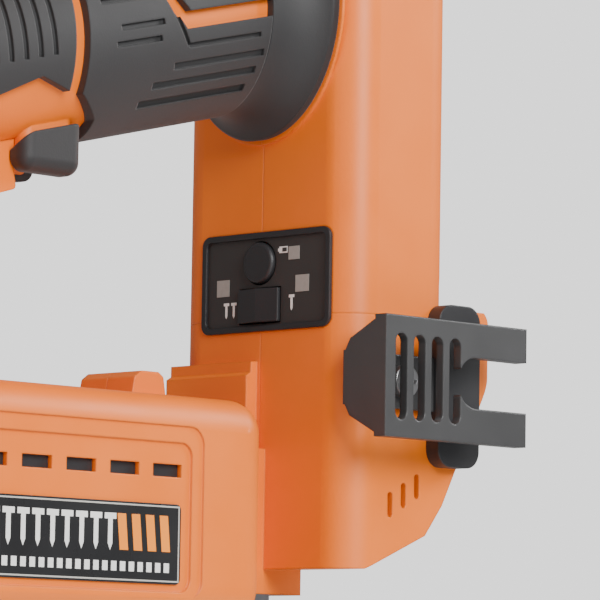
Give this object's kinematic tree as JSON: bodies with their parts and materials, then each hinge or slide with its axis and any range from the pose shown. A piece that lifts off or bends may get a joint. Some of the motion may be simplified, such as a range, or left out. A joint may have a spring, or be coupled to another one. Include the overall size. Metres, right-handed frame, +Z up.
{
  "type": "brad nailer",
  "caption": "Cordless brad nailer with a D-shaped handle, column with battery dock, forked belt hook, motor housing and sliding magazine.",
  "frame": {"origin": "point on the work surface under the driver, where the brad leaves the resting work contact", "axes": "+X forward from the rear column to the nose, +Y to the tool's left side, +Z up against the drive direction"},
  "size_m": [0.2205, 0.074, 0.25],
  "materials": {
    "orange_shell": "fine satin moulded",
    "black_rubber": "soft matte overmould",
    "black_plastic": "satin moulded",
    "steel": "machined",
    "aluminium": "die cast and anodised",
    "green_board": "solder mask",
    "clear_window": "frosted window",
    "dark_label": "printed film"
  },
  "bodies": {
    "housing": {"battery_dock": "black_plastic", "bearings": "steel", "belt_hook": "black_plastic", "contact_spring": "steel", "control_board": "green_board", "cylinder_cap": "aluminium", "depth_rod": "steel", "door_pin": "steel", "drive_cylinder": "aluminium", "drive_frame": "aluminium", "gearbox_case": "steel", "grip_front": "black_rubber", "grip_main": "black_rubber", "grip_neck": "black_rubber", "grip_saddle": "black_rubber", "handle_collar": "black_rubber", "hook_pad": "black_plastic", "housing_screws": "steel", "label_plate": "dark_label", "light_windows": "clear_window", "lower_shell_left": "orange_shell", "lower_shell_right": "orange_shell", "magazine_rail": "aluminium", "motor_can": "steel", "nose_body": "steel", "panel_bezel": "black_plastic", "panel_board": "green_board", "panel_face": "black_plastic", "piston_bumper": "black_rubber", "stator": "steel", "terminal_block": "black_plastic", "trigger_switch": "black_plastic", "upper_shell_left": "orange_shell", "upper_shell_right": "orange_shell", "vent_screen": "black_plastic"},
    "trigger": {"trigger": "orange_shell"},
    "plunger": {"switch_plunger": "black_plastic"},
    "power_button": {"power_button": "black_plastic"},
    "mode_rocker": {"mode_rocker": "black_plastic"},
    "driver": {"driver_blade": "steel", "piston": "aluminium", "piston_seal": "black_rubber"},
    "lifter": {"lifter": "steel", "lifter_shaft": "steel"},
    "output": {"output_carrier": "steel"},
    "rotor": {"rotor": "steel", "cooling_fan": "black_plastic"},
    "planet_1": {"planet_gear_1": "steel"},
    "planet_2": {"planet_gear_2": "steel"},
    "planet_3": {"planet_gear_3": "steel"},
    "door": {"nose_door": "steel"},
    "door_latch": {"door_latch": "steel"},
    "contact": {"work_contact": "steel", "contact_tip": "black_rubber"},
    "depth": {"depth_wheel": "black_plastic"},
    "magazine": {"magazine_cover": "aluminium", "magazine_end_cap": "black_plastic"},
    "pusher": {"pusher": "steel", "pusher_spring": "steel"},
    "end_latch": {"magazine_latch": "black_plastic"}
  },
  "joints": [
    {"name": "trigger_pull", "type": "slide", "parent": "housing", "child": "trigger", "axis": [-1, 0, 0], "range_m": [0, 0.005]},
    {"name": "plunger_press", "type": "slide", "parent": "housing", "child": "plunger", "axis": [-1, 0, 0], "range_m": [0, 0.005]},
    {"name": "power_press", "type": "slide", "parent": "housing", "child": "power_button", "axis": [-1, 0, 0], "range_m": [0, 0.0008]},
    {"name": "mode_rock", "type": "hinge", "parent": "housing", "child": "mode_rocker", "pos_m": [-0.1435, -0.0006, 0.1404], "axis": [0, 0, 1], "range_deg": [-5, 5]},
    {"name": "driver_travel", "type": "slide", "parent": "housing", "child": "driver", "axis": [0, 0, 1], "range_m": [-0.055, 0]},
    {"name": "lifter_turn", "type": "hinge", "parent": "housing", "child": "lifter", "pos_m": [0, -0.015, 0.092], "axis": [1, 0, 0], "range_deg": [-262.61, 0]},
    {"name": "output_turn", "type": "hinge", "parent": "housing", "child": "output", "pos_m": [0, 0, 0.092], "axis": [1, 0, 0], "range_deg": [0, 525.21]},
    {"name": "rotor_turn", "type": "hinge", "parent": "housing", "child": "rotor", "pos_m": [0, 0, 0.092], "axis": [1, 0, 0], "range_deg": [0, 2626.06]},
    {"name": "planet_1_turn", "type": "hinge", "parent": "output", "child": "planet_1", "pos_m": [0, 0, 0.101], "axis": [1, 0, 0], "range_deg": [-1400.56, 0]},
    {"name": "planet_2_turn", "type": "hinge", "parent": "output", "child": "planet_2", "pos_m": [0, 0.00779, 0.0875], "axis": [1, 0, 0], "range_deg": [-1400.56, 0]},
    {"name": "planet_3_turn", "type": "hinge", "parent": "output", "child": "planet_3", "pos_m": [0, -0.00779, 0.0875], "axis": [1, 0, 0], "range_deg": [-1400.56, 0]},
    {"name": "door_swing", "type": "hinge", "parent": "housing", "child": "door", "pos_m": [0.007, -0.0102, 0.05], "axis": [0, 0, 1], "range_deg": [-95, 0]},
    {"name": "latch_lift", "type": "hinge", "parent": "door", "child": "door_latch", "pos_m": [0.0082, 0, 0.056], "axis": [0, 1, 0], "range_deg": [-70, 0]},
    {"name": "contact_lift", "type": "slide", "parent": "housing", "child": "contact", "axis": [0, 0, 1], "range_m": [0, 0.008], "deforming": ["contact_spring"]},
    {"name": "depth_turn", "type": "hinge", "parent": "housing", "child": "depth", "pos_m": [0, 0.02, 0.06], "axis": [0, 0, 1], "continuous": true},
    {"name": "magazine_open", "type": "slide", "parent": "housing", "child": "magazine", "axis": [-1, 0, 0], "range_m": [0, 0.12]},
    {"name": "pusher_feed", "type": "slide", "parent": "magazine", "child": "pusher", "axis": [-1, 0, 0], "range_m": [0, 0.11]},
    {"name": "end_latch_turn", "type": "hinge", "parent": "magazine", "child": "end_latch", "pos_m": [-0.155, 0, 0.06], "axis": [0, 1, 0], "range_deg": [0, 20]}
  ],
  "couplings": [
    {"joint": "plunger_press", "follows": "trigger_pull", "ratio": 1},
    {"joint": "lifter_turn", "follows": "driver_travel", "rad_per_m": 83.333},
    {"joint": "output_turn", "follows": "driver_travel", "rad_per_m": -166.67},
    {"joint": "rotor_turn", "follows": "driver_travel", "rad_per_m": -833.33},
    {"joint": "planet_1_turn", "follows": "driver_travel", "rad_per_m": 444.44},
    {"joint": "planet_2_turn", "follows": "driver_travel", "rad_per_m": 444.44},
    {"joint": "planet_3_turn", "follows": "driver_travel", "rad_per_m": 444.44}
  ]
}
